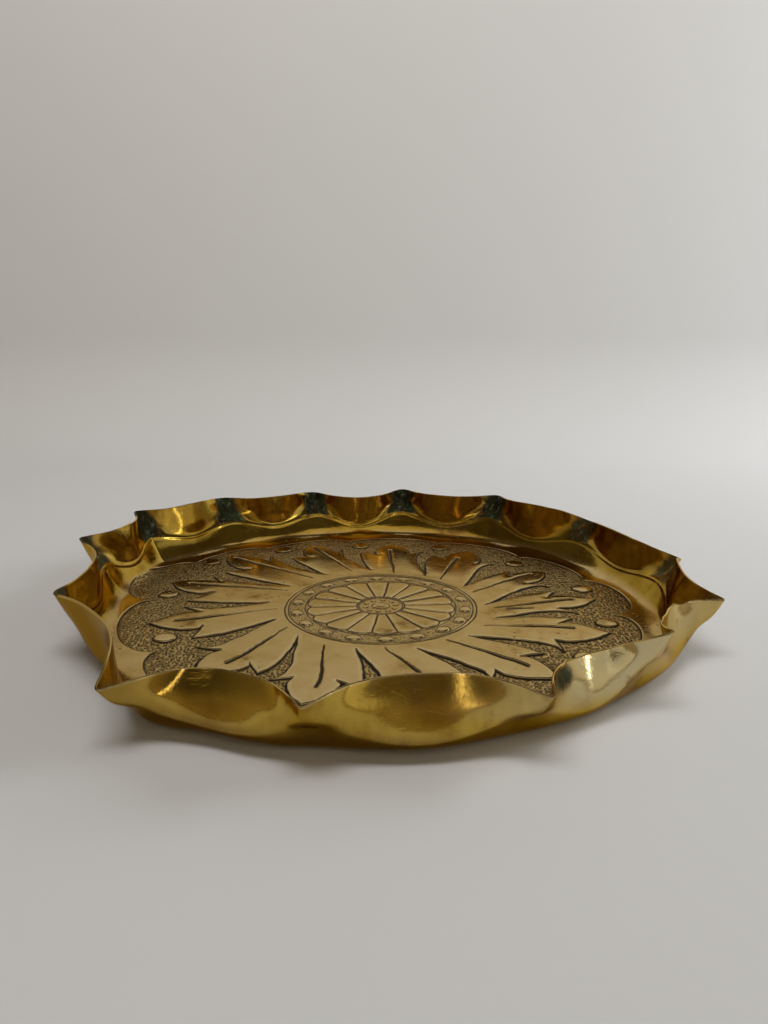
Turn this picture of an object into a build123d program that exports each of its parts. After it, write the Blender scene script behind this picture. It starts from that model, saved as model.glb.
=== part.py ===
from build123d import *
import math
import os

os.makedirs("parts", exist_ok=True)

# A hammered brass tray, about 300 mm across, with a crimped rim and a chased sunflower on its floor.
# Units are millimetres and +Z is up.  The underside of the floor lies on Z = 0, centred on the origin.
# The tray is beaten from one sheet.  Its nodes are the zones that the smith works it in: the
# medallion, one panel for each petal of the flower, and one lobe of the rim for each gap
# between two crimps.  They meet face to face.

# ---- driving dimensions ----------------------------------------------------------------------

SHEET = 1.0               # thickness of the brass
FLOOR_RADIUS = 118.0      # where the floor panels end and the rim lobes begin
MEDALLION_RADIUS = 46.0   # where the medallion ends and the petal panels begin
CHASE_DEPTH = 0.35        # how far the stippled ground and the chased lines are sunk

RIM_SLACK = 3.0           # how sharply the rim hangs from its crimps (a catenary's stiffness)
PINCH = [0, 0, 0.1, 0.6, 1]   # how much of that sharpness each level has, from the foot to the rim

# One crimp at each row: direction in degrees, foot radius, tip radius, tip height above the floor,
# and how far the crimp is rounded off, as a share of the lobe beside it.
CRIMPS = [
    (1.5, 122.0, 145.0, 22.5, 0.03),
    (33.0, 121.0, 145.0, 21.5, 0.05),
    (60.0, 121.0, 149.0, 25.5, 0.06),
    (84.5, 121.0, 149.5, 25.0, 0.07),
    (107.5, 122.0, 150.0, 24.5, 0.07),
    (130.5, 127.0, 152.0, 27.0, 0.07),
    (152.0, 134.0, 158.0, 29.0, 0.06),
    (173.0, 126.0, 151.0, 29.0, 0.04),
    (203.0, 124.0, 144.0, 27.5, 0.03),
    (236.0, 131.0, 159.5, 23.0, 0.02),
    (261.0, 125.0, 149.5, 25.0, 0.015),
    (290.0, 123.0, 151.5, 25.5, 0.02),
    (313.5, 126.0, 146.0, 31.0, 0.03),
    (336.5, 131.0, 151.0, 25.5, 0.03),
]

# One lobe at each row, from the crimp of the same row to the next, measured half way along it:
# foot radius, crease radius, crease height, rim radius, rim height.  The crease is where the
# face of the lobe rises from the rounded corner of the floor.
LOBES = [
    (122.0, 131.5, 6.5, 132.5, 25.4),
    (121.0, 131.5, 5.5, 133.0, 26.9),
    (121.0, 131.5, 7.0, 131.5, 26.0),
    (121.0, 131.5, 5.0, 131.0, 23.8),
    (124.0, 134.5, 8.5, 136.5, 27.0),
    (131.0, 141.0, 10.0, 145.0, 29.0),
    (130.0, 139.0, 8.0, 142.0, 28.6),
    (123.0, 131.5, 7.0, 132.5, 27.0),
    (124.0, 131.5, 6.0, 136.0, 30.5),
    (126.0, 139.5, 7.5, 132.0, 24.3),
    (124.5, 138.5, 7.5, 131.5, 27.3),
    (124.5, 135.5, 7.0, 130.0, 23.8),
    (126.0, 137.5, 7.0, 133.0, 26.8),
    (124.0, 132.5, 6.0, 136.0, 27.5),
]

# One petal at each row: direction of its vein's outer end, radius of its tip.
PETALS = [
    (4.5, 108.0),
    (30.0, 104.0),
    (59.5, 105.0),
    (86.5, 106.0),
    (112.5, 112.0),
    (137.5, 117.0),
    (162.0, 115.0),
    (191.5, 108.5),
    (226.0, 105.0),
    (254.0, 104.0),
    (283.5, 104.0),
    (311.0, 104.0),
    (341.5, 108.0),
]

PETAL_SWIRL = 9.0         # degrees by which a vein's inner end lags behind its outer end
BOSS_LEAD = 10.0          # degrees from a vein's outer end to the boss that follows it
BOSS_RADIUS = 105.0
BOSS_SIZE = 5.2
BORDER_CUSP_RADIUS = 108.0

SPOKES = 18
HUB_RADIUS = 11.0
SPOKE_RING_RADIUS = 36.5
BEAD_RING_RADIUS = 41.0
BEAD_LENGTH = 6.5
BEAD_WIDTH = 4.7

# ---- helpers ---------------------------------------------------------------------------------


def polar(radius, degrees):
    angle = math.radians(degrees)
    return (radius * math.cos(angle), radius * math.sin(angle))


def blend(a, b, share):
    return a + (b - a) * share


def hang(along, rounding):
    """1 at both crimps and 0 half way between them: a hanging chain with its ends rounded off."""
    from_crimp = 0.5 - abs(along - 0.5)
    rounded = math.hypot(from_crimp, rounding) - rounding
    rounded *= 0.5 / (math.hypot(0.5, rounding) - rounding)
    return (math.cosh(RIM_SLACK * (1 - 2 * rounded)) - 1) / (math.cosh(RIM_SLACK) - 1)


def wave(along):
    """1 at both crimps and 0 half way between them, along a smooth wave."""
    return 0.5 + 0.5 * math.cos(2 * math.pi * along)


def write(shape, name):
    shape.label = name
    export_step(shape, "parts/" + name + ".step")


# ---- the rim: one lobe between each two crimps -----------------------------------------------


def lobe_profile(here, next_crimp, lobe, along):
    """The upper face of the sheet, from its bend at the floor to the rim, as (radius, height)."""
    lobe_foot, crease_radius, crease_height, rim_radius, rim_height = lobe
    foot = blend(here[1], next_crimp[1], along)
    tip_radius = blend(here[2], next_crimp[2], along)
    tip_height = blend(here[3], next_crimp[3], along)
    middle = [
        (lobe_foot - 2, 0),
        (blend(lobe_foot, crease_radius, 0.55), 0.28 * crease_height),
        (crease_radius, crease_height),
        (blend(crease_radius, rim_radius, 0.40), blend(crease_height, rim_height, 0.5)),
        (rim_radius, rim_height),
    ]
    reach = tip_radius - foot
    crimp = [
        (foot - 2, 0),
        (foot + 0.26 * reach, 0.08 * tip_height),
        (foot + 0.56 * reach, 0.48 * tip_height),
        (foot + 0.78 * reach, 0.74 * tip_height),
        (tip_radius, tip_height),
    ]
    rounding = blend(here[4], next_crimp[4], along)
    points = []
    for pinch, inner, outer in zip(PINCH, middle, crimp):
        share = blend(wave(along), hang(along, rounding), pinch)
        points.append((blend(inner[0], outer[0], share), blend(inner[1], outer[1], share)))
    return points


def direction_at(points, index):
    """The unit direction in which a run of points passes through one of them."""
    behind = points[max(0, index - 1)]
    ahead = points[min(len(points) - 1, index + 1)]
    run = ahead[0] - behind[0]
    rise = ahead[1] - behind[1]
    length = math.hypot(run, rise)
    return (run / length, rise / length)


def lobe_section(here, next_crimp, lobe, along):
    """The sheet's cross-section on the upright plane that passes through the centre."""
    upper = lobe_profile(here, next_crimp, lobe, along)
    step = 0.01
    start = max(0, along - step)
    end = min(1, along + step)
    before = lobe_profile(here, next_crimp, lobe, start)
    after = lobe_profile(here, next_crimp, lobe, end)
    turn = math.radians((next_crimp[0] - here[0]) % 360)
    lower = [(upper[0][0], -SHEET)]
    for index in range(1, len(upper)):
        radius, height = upper[index]
        run, rise = direction_at(upper, index)
        # A wall that runs askew to the section plane looks thicker in it than it is.
        askew = (after[index][0] - before[index][0]) / (turn * (end - start) * radius)
        thick = SHEET * math.sqrt(1 + (askew * rise) ** 2)
        lower.append((radius + thick * rise, height - thick * run))
    top = len(upper) - 1
    inner_floor = (FLOOR_RADIUS - 3, 0)
    outer_floor = (FLOOR_RADIUS - 3, -SHEET)
    outline = [
        Line(inner_floor, upper[0]),
        Spline(upper, tangents=((1, 0), direction_at(upper, top))),
        Line(upper[top], lower[top]),
        Spline(lower, tangents=((1, 0), direction_at(lower, top))),
        Line(lower[0], outer_floor),
        Line(outer_floor, inner_floor),
    ]
    direction = here[0] + math.degrees(turn) * along
    plane = Plane(
        origin=(0, 0, SHEET),
        x_dir=(*polar(1, direction), 0),
        z_dir=(*polar(1, direction - 90), 0),
    )
    return plane * make_face(outline)


def rim_lobe(index):
    here = CRIMPS[index]
    next_crimp = CRIMPS[(index + 1) % len(CRIMPS)]
    stops = [0, 0.03, 0.08, 0.15, 0.26, 0.5, 0.74, 0.85, 0.92, 0.97, 1]
    sections = [lobe_section(here, next_crimp, LOBES[index], along) for along in stops]
    return loft(sections) - Pos(0, 0, SHEET / 2) * Cylinder(FLOOR_RADIUS, 4 * SHEET)


# ---- the floor: the petals and the ground between them ---------------------------------------


def seam_direction(index):
    """Direction of the ground's middle between one petal and the next, at its outer end."""
    here = PETALS[index][0]
    gap = (PETALS[(index + 1) % len(PETALS)][0] - here) % 360
    return here + 0.5 * gap


def seam(index):
    """The line from the medallion to the rim along which two petal panels meet."""
    direction = seam_direction(index)
    points = [
        polar(MEDALLION_RADIUS, direction - 11),
        polar(58, direction - 6),
        polar(75, direction),
        polar(95, direction + 1),
        polar(FLOOR_RADIUS, direction + 1),
    ]
    return Spline(points)


def panel_outline(index):
    last = seam(index - 1)
    own = seam(index)
    middle = 0.5 * (seam_direction(index - 1) % 360) + 0.5 * unwrapped(index)
    inner_middle = polar(MEDALLION_RADIUS, middle - 11)
    outer_middle = polar(FLOOR_RADIUS, middle + 1)
    inner_arc = ThreePointArc(last @ 0, inner_middle, own @ 0)
    outer_arc = ThreePointArc(last @ 1, outer_middle, own @ 1)
    return make_face([last, outer_arc, own, inner_arc])


def unwrapped(index):
    """This panel's seam direction, taken as greater than the one before it."""
    start = seam_direction(index - 1) % 360
    return start + (seam_direction(index) - start) % 360


def petal_outline(index):
    """A pointed middle lobe with a barb on each side, swirling back towards the medallion."""
    vein, tip = PETALS[index]
    left = vein - 0.5 * ((vein - PETALS[index - 1][0]) % 360) + 2.8
    right = vein + 0.5 * ((PETALS[(index + 1) % len(PETALS)][0] - vein) % 360) - 2.2
    right_side = Spline(
        polar(51, right - 9),
        polar(60, right - 3),
        polar(75, right + 0.5),
        polar(90, right),
    )
    right_barb = Line(polar(90, right), polar(86, vein + 6.5))
    right_lobe = ThreePointArc(polar(86, vein + 6.5), polar(98, vein + 5.0), polar(tip, vein + 0.5))
    left_lobe = ThreePointArc(polar(tip, vein + 0.5), polar(98, vein - 4.5), polar(87, vein - 6.5))
    left_barb = Line(polar(87, vein - 6.5), polar(94, left))
    left_side = Spline(
        polar(94, left),
        polar(75, left + 0.5),
        polar(60, left - 3),
        polar(51, left - 9),
    )
    base = Line(polar(51, left - 9), polar(51, right - 9))
    return make_face([right_side, right_barb, right_lobe, left_lobe, left_barb, left_side, base])


def vein_outline(index):
    """A groove down the middle of a petal, widest near its outer end."""
    vein = PETALS[index][0]
    inner_end = polar(54, vein - PETAL_SWIRL)
    outer_end = polar(95, vein)
    one_side = Spline(inner_end, polar(64, vein - 3.6), polar(78, vein - 0.6), outer_end)
    other_side = Spline(inner_end, polar(64, vein - 2.6), polar(78, vein + 0.7), outer_end)
    return make_face([one_side, other_side])


def ground_outline(index):
    """The stippled ground of one panel, out to a scallop that arches over its petal."""
    last = seam_direction(index - 1) % 360 + 1
    own = unwrapped(index) + 1
    middle = 0.5 * (last + own)
    start = polar(BORDER_CUSP_RADIUS, last)
    end = polar(BORDER_CUSP_RADIUS, own)
    scallop = ThreePointArc(start, polar(FLOOR_RADIUS - 1, middle), end)
    side_out = Line(end, polar(50, own))
    base = Line(polar(50, own), polar(50, last - 22))
    side_in = Line(polar(50, last - 22), start)
    return make_face([scallop, side_out, base, side_in])


def petal_panel(index):
    outline = panel_outline(index)
    vein = PETALS[index][0]
    boss_out = Pos(*polar(BOSS_RADIUS, vein + BOSS_LEAD)) * Circle(BOSS_SIZE)
    boss_last = Pos(*polar(BOSS_RADIUS, PETALS[index - 1][0] + BOSS_LEAD)) * Circle(BOSS_SIZE)
    sunk = outline & ground_outline(index)
    sunk = sunk - petal_outline(index) - boss_out - boss_last
    plate = extrude(outline, SHEET)
    for patch in sunk.faces():
        plate -= Pos(0, 0, SHEET - CHASE_DEPTH) * extrude(Sketch() + patch, CHASE_DEPTH)
    return plate - Pos(0, 0, SHEET - CHASE_DEPTH) * extrude(vein_outline(index), CHASE_DEPTH)


# ---- the medallion: a wheel of rounded panels in a ring of beads -----------------------------


def medallion():
    disc = Pos(0, 0, SHEET / 2) * Cylinder(MEDALLION_RADIUS, SHEET)
    ring = Circle(SPOKE_RING_RADIUS + 8.5) - Circle(SPOKE_RING_RADIUS + 0.8)
    panels = Sketch()
    for index in range(SPOKES):
        direction = 360 / SPOKES * (index + 0.5) + 3
        half = 360 / SPOKES / 2
        hub_right = polar(HUB_RADIUS + 1.5, direction - half * 0.55)
        hub_left = polar(HUB_RADIUS + 1.5, direction + half * 0.55)
        ring_right = polar(31, direction - half * 0.85)
        ring_left = polar(31, direction + half * 0.85)
        bead = Rot(0, 0, direction + 90) * Ellipse(BEAD_LENGTH / 2, BEAD_WIDTH / 2)
        ring -= Pos(*polar(BEAD_RING_RADIUS, direction)) * bead
        panels += make_face([
            Line(hub_right, ring_right),
            ThreePointArc(ring_right, polar(SPOKE_RING_RADIUS - 1, direction), ring_left),
            Line(ring_left, hub_left),
            Line(hub_left, hub_right),
        ])
    sunk = Pos(0, 0, SHEET - CHASE_DEPTH)
    hub_ring = Circle(9.5) - Circle(5.5)
    disc -= sunk * extrude(ring, CHASE_DEPTH)
    disc -= sunk * extrude(panels, CHASE_DEPTH)
    return disc - sunk * extrude(hub_ring, CHASE_DEPTH)


# ---- the pieces ------------------------------------------------------------------------------

write(medallion(), "floor_medallion")
for number in range(len(PETALS)):
    write(petal_panel(number), "petal_panel_%02d" % (number + 1))
for number in range(len(CRIMPS)):
    write(rim_lobe(number), "rim_lobe_%02d" % (number + 1))
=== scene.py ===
import math

import bpy
import numpy as np
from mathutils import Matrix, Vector


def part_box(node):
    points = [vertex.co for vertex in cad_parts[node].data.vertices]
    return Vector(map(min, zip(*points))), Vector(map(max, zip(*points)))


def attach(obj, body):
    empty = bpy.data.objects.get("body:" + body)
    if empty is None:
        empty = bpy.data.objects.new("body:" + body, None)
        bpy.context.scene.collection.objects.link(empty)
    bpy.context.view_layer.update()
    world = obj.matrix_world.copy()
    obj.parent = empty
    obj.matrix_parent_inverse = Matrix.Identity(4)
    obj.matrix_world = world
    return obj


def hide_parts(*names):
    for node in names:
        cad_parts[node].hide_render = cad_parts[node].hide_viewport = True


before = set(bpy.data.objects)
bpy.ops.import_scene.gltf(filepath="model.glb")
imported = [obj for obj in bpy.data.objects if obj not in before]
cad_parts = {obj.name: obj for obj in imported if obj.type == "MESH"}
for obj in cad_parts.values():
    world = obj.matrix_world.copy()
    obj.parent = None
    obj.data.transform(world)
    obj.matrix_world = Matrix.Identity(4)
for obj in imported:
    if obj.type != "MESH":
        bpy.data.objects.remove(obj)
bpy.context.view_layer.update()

# A hammered brass tray: a chased sunflower on its floor and a crimped rim round it.
# Each CAD node gets one closed sheet of brass of its own.  Shapes are worked out in millimetres
# and heights are measured from the top of the floor; the meshes are in metres.

MM = 0.001

# ---- sizes taken from the frame ----

medallion_low, medallion_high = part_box("floor_medallion")
SHEET = (medallion_high.z - medallion_low.z) / MM
MEDALLION_RADIUS = medallion_high.x / MM
panel_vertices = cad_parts["petal_panel_01"].data.vertices
FLOOR_RADIUS = max(math.hypot(v.co.x, v.co.y) for v in panel_vertices) / MM

# ---- the driving lists of the CAD source, in millimetres and degrees ----

# One crimp at each row: direction, foot radius, tip radius, tip height above the floor, and how
# far it is rounded off, as a share of the lobe beside it.
CRIMPS = [
    (1.5, 122, 145, 22.5, 0.03),
    (33, 121, 145, 21.5, 0.05),
    (60, 121, 149, 25.5, 0.06),
    (84.5, 121, 149.5, 25, 0.07),
    (107.5, 122, 150, 24.5, 0.07),
    (130.5, 127, 152, 27, 0.07),
    (152, 134, 158, 29, 0.06),
    (173, 126, 151, 29, 0.04),
    (203, 124, 144, 27.5, 0.03),
    (236, 131, 159.5, 23, 0.02),
    (261, 125, 149.5, 25, 0.015),
    (290, 123, 151.5, 25.5, 0.02),
    (313.5, 126, 146, 31, 0.03),
    (336.5, 131, 151, 25.5, 0.03),
]

# One lobe at each row, half way between two crimps: foot radius, crease radius and height,
# rim radius and height.
LOBES = [
    (122, 131.5, 6.5, 132.5, 25.4),
    (121, 131.5, 5.5, 133, 26.9),
    (121, 131.5, 7, 131.5, 26),
    (121, 131.5, 5, 131, 23.8),
    (124, 134.5, 8.5, 136.5, 27),
    (131, 141, 10, 145, 29),
    (130, 139, 8, 142, 28.6),
    (123, 131.5, 7, 132.5, 27),
    (124, 131.5, 6, 136, 30.5),
    (126, 139.5, 7.5, 132, 24.3),
    (124.5, 138.5, 7.5, 131.5, 27.3),
    (124.5, 135.5, 7, 130, 23.8),
    (126, 137.5, 7, 133, 26.8),
    (124, 132.5, 6, 136, 27.5),
]

RIM_SLACK = 3.0           # how sharply the rim hangs from its crimps

# How much of that sharpness each level has, from the foot to the rim.
PINCH = [0, 0, 0.1, 0.6, 1]

# One petal at each row: direction and radius of its tip, direction and radius of its vein's
# inner end, radius of the vein's outer end.
PETALS = [
    (4.5, 107, 355.6, 55, 95),
    (30.0, 104, 21.7, 51, 94),
    (59.5, 105, 51.2, 51, 88),
    (86.5, 106, 81.4, 51, 92),
    (112.5, 113, 107.0, 56, 107),
    (137.5, 121, 132.3, 55, 115),
    (162.0, 116, 155.9, 53, 105),
    (191.5, 108.5, 185.0, 50.5, 97),
    (226.0, 105, 212.8, 51, 90),
    (254.0, 104, 242.7, 53, 89),
    (283.5, 104, 272.1, 50, 89),
    (311.0, 104, 304.5, 51, 90),
    (341.5, 107.5, 331.8, 54, 92),
]

# The wedge of ground that follows each petal: direction, half width in degrees, the angle by
# which its inner point lags, radius of that point.
WEDGES = [
    (16.0, 3.3, 16.0, 50),
    (42.0, 5.0, 9.0, 52),
    (72.7, 3.0, 11.0, 51),
    (101.5, 3.5, 6.0, 56),
    (126.5, 2.8, 4.0, 56),
    (152.3, 2.6, 3.5, 56),
    (179.0, 2.8, 4.0, 55.5),
    (209.8, 3.8, 10.5, 52),
    (240.0, 2.6, 14.0, 52),
    (268.0, 2.8, 9.5, 52),
    (296.5, 2.6, 9.0, 53),
    (324.0, 3.0, 8.0, 54),
    (352.0, 2.7, 8.5, 56),
]

# The scalloped border of the ground: direction and radius of the cusp before each petal, then
# of the scallop's top.
BORDER = [
    (353.5, 110, 6.0, 123),
    (19.0, 112, 31.0, 119),
    (44.0, 110, 58.0, 118),
    (72.0, 110, 85.0, 118),
    (100.0, 111, 112.0, 120),
    (126.0, 117, 136.0, 127),
    (147.0, 125, 158.0, 136),
    (176.0, 114, 189.0, 122.5),
    (209.5, 107, 224.0, 119),
    (240.0, 108, 254.0, 118),
    (268.0, 108, 283.0, 118),
    (297.0, 108, 311.0, 118),
    (324.5, 108, 341.5, 121),
]

# Direction and radius of each boss.
BOSSES = [
    (348, 106), (13, 107), (41, 101.5), (70, 105), (97, 103), (122, 111), (144, 120),
    (171, 109), (202, 102), (238, 104), (268, 104), (297, 104), (325, 104),
]
BOSS_SIZE = 5.2

# Strength of the verdigris in each crimp, and of the painted shade that darkens its pocket.
VERDIGRIS_AND_POCKET_SHADE = [0.5, 0.6, 0.9, 1.0, 1.0, 1.0, 1.0, 0.8, 0.7, 0.3, 0.2, 0.3, 0.3, 0.4]

SPOKES = 18
SPOKE_START = 3.0         # direction of a spoke
HUB_RADIUS = 11.0
SPOKE_RING_RADIUS = 36.5
BEAD_RING_RADIUS = 41.0
BEAD_LENGTH = 6.9
BEAD_WIDTH = 5.1
HUB_BEADS = 10
HUB_BEADS_START = -8.0    # direction of a gap between two of them
HUB_BEAD_RING_RADIUS = 7.6
HUB_BEAD_TOP = 1.45       # where a bead of the hub begins to fall to the ground
HUB_BEAD_SIZE = 1.85      # where it meets the ground
HUB_BOSS_SIZE = 2.2
WHEEL_ROUND_RADIUS = 32.0   # the middle of the round that ends a panel of the wheel
WHEEL_ROUND_LENGTH = 3.9
WHEEL_ROUND_WIDTH = 6.2

WHEEL_JOIN = (47.6, 48.4)   # radii between which the wheel's relief gives way to the petals'

# Radius and width of each ring cut round the medallion.
WHEEL_RINGS = [(4.4, 0.35), (10.7, 0.4), (36.6, 0.42), (44.7, 0.38), (46.4, 0.42)]

# How deep the work on the floor is sunk, and how high it is raised.
GROUND_DEPTH = 0.38
OUTLINE_DEPTH = 0.40
VEIN_DEPTH = 0.66
PUNCH_DEPTH = 0.42
PETAL_SWELL = 0.22
BOSS_DOME = 0.50
BOSS_BASE = 0.20          # the foot of a boss lies this much below the floor
WHEEL_GROUND_DEPTH = 0.32
WHEEL_LINE_DEPTH = 0.42
WHEEL_PUNCH_DEPTH = 0.18
BEAD_DOME = 0.45
HUB_DOME = 0.30
UNDER_SHARE = 0.35        # how much of the relief shows through on the under side

VEIN_WIDTHS = (0.38, 1.05)   # of a vein's groove, at its inner end and past its middle
PUNCH_SPACING = 1.75      # between two punched pits of the ground
METAL = 0.85 * SHEET      # thickness of the brass where it shows

CREASE_LIP = 0.40         # how far the crease in the wall stands proud
CREASE_FOLD = 0.5         # how sharply the wall folds there, from 0 to 1
BEATEN = 0.22             # how far the hammer's broad facets stand proud
BEATEN_FINE = 0.025
BITTEN_RIM = (316, 322, 331, 336)   # directions between which the rim's edge is torn
PAINTED_REFLECTION_DIRECTION = 312      # middle of the stretch of wall whose outside is paler: a painted reflection of a bright window
PAINTED_SHADE_DIRECTION = 215      # middle of the stretch whose outside is browner: painted shade, the reflection of the shadowed floor
PAINTED_REFLECTION_SPREAD = 26
PAINTED_SHADE_SPREAD = 24
FOOT_DARKNESS = 0.95      # how brown the foot of the wall is outside

# ---- the grid ----

COLUMN = 0.125            # degrees between two columns of a panel or a lobe
PANEL_ROWS = 232
LOBE_ROWS = 140
DISC_ROWS = 120
DISC_COLUMNS = 648
PROFILE_STEPS = 16        # between two of the five points of the wall's profile
CREASE_LEVEL = 2          # which of those points is the crease

INNER = (slice(1, -1), slice(1, -1))                  # a grid without its extra rows and columns
HALF = (slice(None, None, 2), slice(None, None, 2))   # every second row and column of a grid

# ---- small helpers ----

random_numbers = np.random.default_rng(12)
LATTICE = random_numbers.random((256, 256))


def blend(a, b, share):
    return a + (b - a) * share


def ramp(value, start, end):
    """0 up to start and 1 from end on, with a smooth step between."""
    share = np.clip((value - start) / (end - start), 0, 1)
    return share * share * (3 - 2 * share)


def mound(distance, width):
    """1 where the distance is 0, falling away over the width."""
    return np.exp(-((distance / width) ** 2))


def noise(x, y, size, layer=0):
    """Smooth noise from -1 to 1 that changes over about this many millimetres."""
    u = x / size + 17.3 * layer + 300
    v = y / size + 29.1 * layer + 300
    column = np.floor(u).astype(int)
    row = np.floor(v).astype(int)
    s = ramp(u - column, 0, 1)
    t = ramp(v - row, 0, 1)

    def corner(right, up):
        return LATTICE[(column + right) % 256, (row + up) % 256]

    low_side = blend(corner(0, 0), corner(1, 0), s)
    high_side = blend(corner(0, 1), corner(1, 1), s)
    return 2 * blend(low_side, high_side, t) - 1


def polar(radius, degrees):
    angle = np.radians(degrees)
    return np.stack([radius * np.cos(angle), radius * np.sin(angle)], axis=-1)


def turn_from(angle, centre):
    """The angle measured from a centre, from -180 to 180 degrees."""
    return (angle - centre + 180) % 360 - 180


def curve(points, steps=8):
    """A smooth line through points, as an array."""
    points = np.array(points, float)
    first = 2 * points[:1] - points[1:2]
    last = 2 * points[-1:] - points[-2:-1]
    padded = np.vstack([first, points, last])
    s = np.linspace(0, 1, steps, endpoint=False)[:, None]
    spans = []
    for a, b, c, d in zip(padded, padded[1:], padded[2:], padded[3:]):
        bend = (2 * a - 5 * b + 4 * c - d) * s**2 + (3 * b - a - 3 * c + d) * s**3
        spans.append(b + 0.5 * ((c - a) * s + bend))
    spans.append(points[-1:])
    return np.vstack(spans)


def distance_to(x, y, line):
    """Distance to a line of points, and how far along it the nearest point is."""
    best = np.full(x.shape, 1e9)
    place = np.zeros(x.shape)
    lengths = np.hypot(*np.diff(line, axis=0).T)
    starts = np.concatenate([[0], np.cumsum(lengths)])
    for index, size in enumerate(lengths):
        if size == 0:
            continue
        ax, ay = line[index]
        dx, dy = (line[index + 1] - line[index]) / size
        share = np.clip((x - ax) * dx + (y - ay) * dy, 0, size)
        gap = np.hypot(x - ax - share * dx, y - ay - share * dy)
        nearer = gap < best
        best = np.where(nearer, gap, best)
        place = np.where(nearer, (starts[index] + share) / starts[-1], place)
    return best, place


def inside(x, y, ring):
    """True inside a closed ring of points."""
    found = np.zeros(x.shape, bool)
    for (ax, ay), (bx, by) in zip(ring, np.roll(ring, -1, axis=0)):
        if ay == by:
            continue
        crosses = (ay > y) != (by > y)
        found ^= crosses & (x < (bx - ax) * (y - ay) / (by - ay) + ax)
    return found


# ---- the chased sunflower ----

# A petal's outline, as runs between sharp corners.  Each point is its place across the petal
# (-1 and 1 at the two wedges, 0 at the vein) and its radius on a petal with its tip at 109.
PETAL_RUNS = [
    [(-1.0, 86.0), (-1.03, 91.5), (-1.15, 95.5)],
    [(-1.15, 95.5), (-0.92, 91.5), (-0.71, 87.5)],
    [(-0.71, 87.5), (-0.66, 94.0), (-0.40, 102.0), (0.0, 109.0)],
    [(0.0, 109.0), (0.27, 103.0), (0.46, 95.0), (0.50, 88.5), (0.37, 85.5)],
    [(0.37, 85.5), (0.65, 88.0), (0.95, 91.5)],
    [(0.95, 91.5), (0.98, 88.5), (1.0, 86.0)],
]
PETAL_ROOT = 52.0
PETAL_TIP = 109.0
WEDGE_SHOULDER = 85.0     # radius where the wedges open out into the ground
BAND_RADIUS = 49.0        # the smooth band round the medallion ends here
RING_ROOT = 40.0          # a petal's closed outline runs in to here, under the band


def wedge_edge(index, side, radius):
    """Direction of one side (-1 or 1) of a wedge of ground at a radius."""
    direction, half, lag, start = WEDGES[index]
    back = np.clip((WEDGE_SHOULDER - radius) / (WEDGE_SHOULDER - start), 0, 1)
    return direction - lag * back**2 + side * half * (1 - back**1.5)


def petal_line(index):
    """The chased outline of a petal, from one wedge's inner point to the next one's."""
    vein, tip = PETALS[index][:2]
    left = vein + turn_from(wedge_edge(index - 1, 1, WEDGE_SHOULDER), vein)
    right = vein + turn_from(wedge_edge(index, -1, WEDGE_SHOULDER), vein)
    stretch = (tip - PETAL_ROOT) / (PETAL_TIP - PETAL_ROOT)
    up = np.linspace(WEDGES[index - 1][3], 84, 22)
    down = np.linspace(84, WEDGES[index][3], 22)
    parts = [polar(up, wedge_edge(index - 1, 1, up))]
    for run in PETAL_RUNS:
        places = []
        for across, radius in run:
            half = vein - left if across < 0 else right - vein
            places.append((PETAL_ROOT + (radius - PETAL_ROOT) * stretch, vein + across * half))
        radii, directions = curve(places, 6).T
        parts.append(polar(radii, directions))
    parts.append(polar(down, wedge_edge(index, -1, down)))
    return np.vstack(parts)


def vein_line(index):
    vein, tip, inner, start, end = PETALS[index]
    lag = turn_from(vein, inner)
    radii = np.linspace(start, end, 14)
    back = (end - radii) / (end - start)
    return polar(radii, vein - lag * back**1.7)


PETAL_LINES = [petal_line(index) for index in range(len(PETALS))]
PETAL_RINGS = []
for petal in PETAL_LINES:
    roots = [end * RING_ROOT / np.hypot(*end) for end in (petal[-1], petal[0])]
    PETAL_RINGS.append(np.vstack([petal, roots]))
VEIN_LINES = [vein_line(index) for index in range(len(PETALS))]
TEAR_LINE = polar(np.array([61.0, 65.0, 69.0, 73.0]), np.array([355.4, 356.2, 356.8, 357.2]))


def border_gap(radius, angle):
    """How far inside the scalloped border a spot lies, in millimetres."""
    gap = np.full(radius.shape, 99.0)
    for index, (start, start_radius, top, top_radius) in enumerate(BORDER):
        end, end_radius = BORDER[(index + 1) % len(BORDER)][:2]
        rise = turn_from(top, start)
        fall = turn_from(end, top)
        away = turn_from(angle, top)
        here = (away >= -rise) & (away < fall)
        share = np.where(away < 0, -away / rise, away / fall)
        cusp = np.where(away < 0, start_radius, end_radius)
        edge = cusp + (top_radius - cusp) * np.sqrt(np.clip(1 - share**2.4, 0, 1))
        gap = np.where(here, edge - radius, gap)
    return gap


def punch_marks(x, y):
    """1 in the middle of a punched pit, 0 between pits.  Their sizes and directions vary."""
    u = x / PUNCH_SPACING
    v = y / PUNCH_SPACING
    best = np.zeros(x.shape)
    for right in (-1, 0, 1):
        for up in (-1, 0, 1):
            column = np.floor(u).astype(int) + right
            row = np.floor(v).astype(int) + up

            def chance(layer):
                return LATTICE[(column + 91 * layer) % 256, (row + 57 * layer) % 256]

            turn = math.pi * chance(2)
            long = blend(0.55, 1.35, chance(3))
            wide = blend(0.34, 0.62, chance(4))
            dx = (u - column - 0.5 - 0.8 * (chance(0) - 0.5)) * PUNCH_SPACING
            dy = (v - row - 0.5 - 0.8 * (chance(1) - 0.5)) * PUNCH_SPACING
            along = dx * np.cos(turn) + dy * np.sin(turn)
            across = dy * np.cos(turn) - dx * np.sin(turn)
            across = across + 0.25 * along * along * (chance(5) - 0.5)
            best = np.maximum(best, np.exp(-((along / long) ** 2) - (across / wide) ** 2))
    return best


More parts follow.
